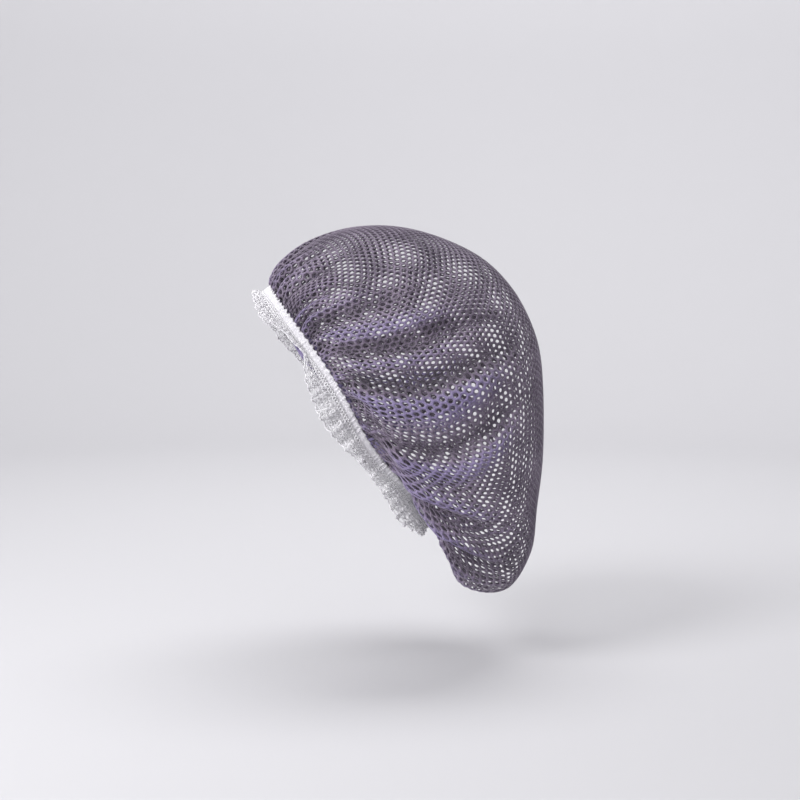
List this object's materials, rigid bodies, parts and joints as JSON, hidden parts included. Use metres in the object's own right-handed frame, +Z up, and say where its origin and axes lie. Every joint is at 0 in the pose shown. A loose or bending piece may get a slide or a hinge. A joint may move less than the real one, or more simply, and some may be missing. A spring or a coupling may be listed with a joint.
{
  "type": "hairnet",
  "caption": "Slouchy mesh hairnet: a pierced bag gathered onto a hem, with a gathered heading and a scalloped lace frill round the face opening, hanging low at the nape.",
  "frame": {"origin": "the inside of the crown, where the net rests on the top of the head", "axes": "+Z up as worn, -Y towards the face, +X towards the wearer's left"},
  "size_m": [0.1879, 0.2249, 0.2838],
  "materials": {
    "purple_net": "matt knitted mesh, muted purple",
    "purple_hem": "matt knitted hem, muted purple",
    "white_heading": "matt gathered white tape",
    "white_lace": "sheer white lace"
  },
  "bodies": {
    "root": {"net_bag": "purple_net", "hem_casing": "purple_hem", "heading_band": "white_heading", "lace_ruffle": "white_lace"}
  },
  "joints": []
}
